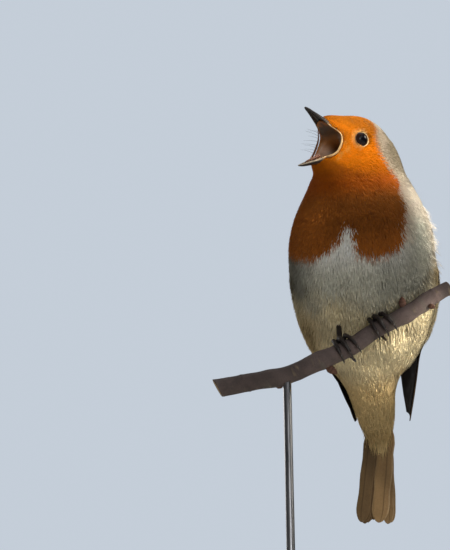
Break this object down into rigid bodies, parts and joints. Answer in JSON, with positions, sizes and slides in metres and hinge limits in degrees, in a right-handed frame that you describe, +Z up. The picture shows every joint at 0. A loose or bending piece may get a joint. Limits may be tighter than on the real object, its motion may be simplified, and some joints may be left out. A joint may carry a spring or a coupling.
{
  "type": "european robin bird model",
  "caption": "Life-size still model of a European robin singing with its bill open, gripping a short cut twig on a round display stand.",
  "frame": {"origin": "centre of the underside of the stand's round base", "axes": "+Z up; -Y is where the breast faces, before the lean and the small turn of the body; +X is towards the bird's left"},
  "size_m": [0.1, 0.1, 0.2357],
  "materials": {
    "belly_plumage": "soft pale plumage",
    "orange_plumage": "soft orange plumage",
    "wing_brown": "smooth brown flight feathers",
    "tail_brown": "smooth brown tail feathers",
    "bill_horn": "dark polished horn",
    "claw_horn": "dark horn",
    "mouth_flesh": "moist flesh",
    "eye": "wet black",
    "leg_scales": "scaly dark brown skin",
    "bark": "dark purplish bark",
    "base_wood": "dark stained wood, satin",
    "rod_steel": "brushed steel"
  },
  "bodies": {
    "root": {"trunk": "belly_plumage", "neck": "orange_plumage", "head": "orange_plumage", "bill_upper": "bill_horn", "bill_lower": "bill_horn", "tongue": "mouth_flesh", "tail": "tail_brown", "perch": "bark", "stand_base": "base_wood", "stand_rod": "rod_steel", "eye_left": "eye", "wing_coverts_left": "wing_brown", "wing_secondaries_left": "wing_brown", "wing_primaries_left": "wing_brown", "leg_left": "leg_scales", "toe_inner_left": "leg_scales", "claw_inner_left": "claw_horn", "toe_middle_left": "leg_scales", "claw_middle_left": "claw_horn", "toe_outer_left": "leg_scales", "claw_outer_left": "claw_horn", "toe_back_left": "leg_scales", "claw_back_left": "claw_horn", "eye_right": "eye", "wing_coverts_right": "wing_brown", "wing_secondaries_right": "wing_brown", "wing_primaries_right": "wing_brown", "leg_right": "leg_scales", "toe_inner_right": "leg_scales", "claw_inner_right": "claw_horn", "toe_middle_right": "leg_scales", "claw_middle_right": "claw_horn", "toe_outer_right": "leg_scales", "claw_outer_right": "claw_horn", "toe_back_right": "leg_scales", "claw_back_right": "claw_horn"}
  },
  "joints": []
}
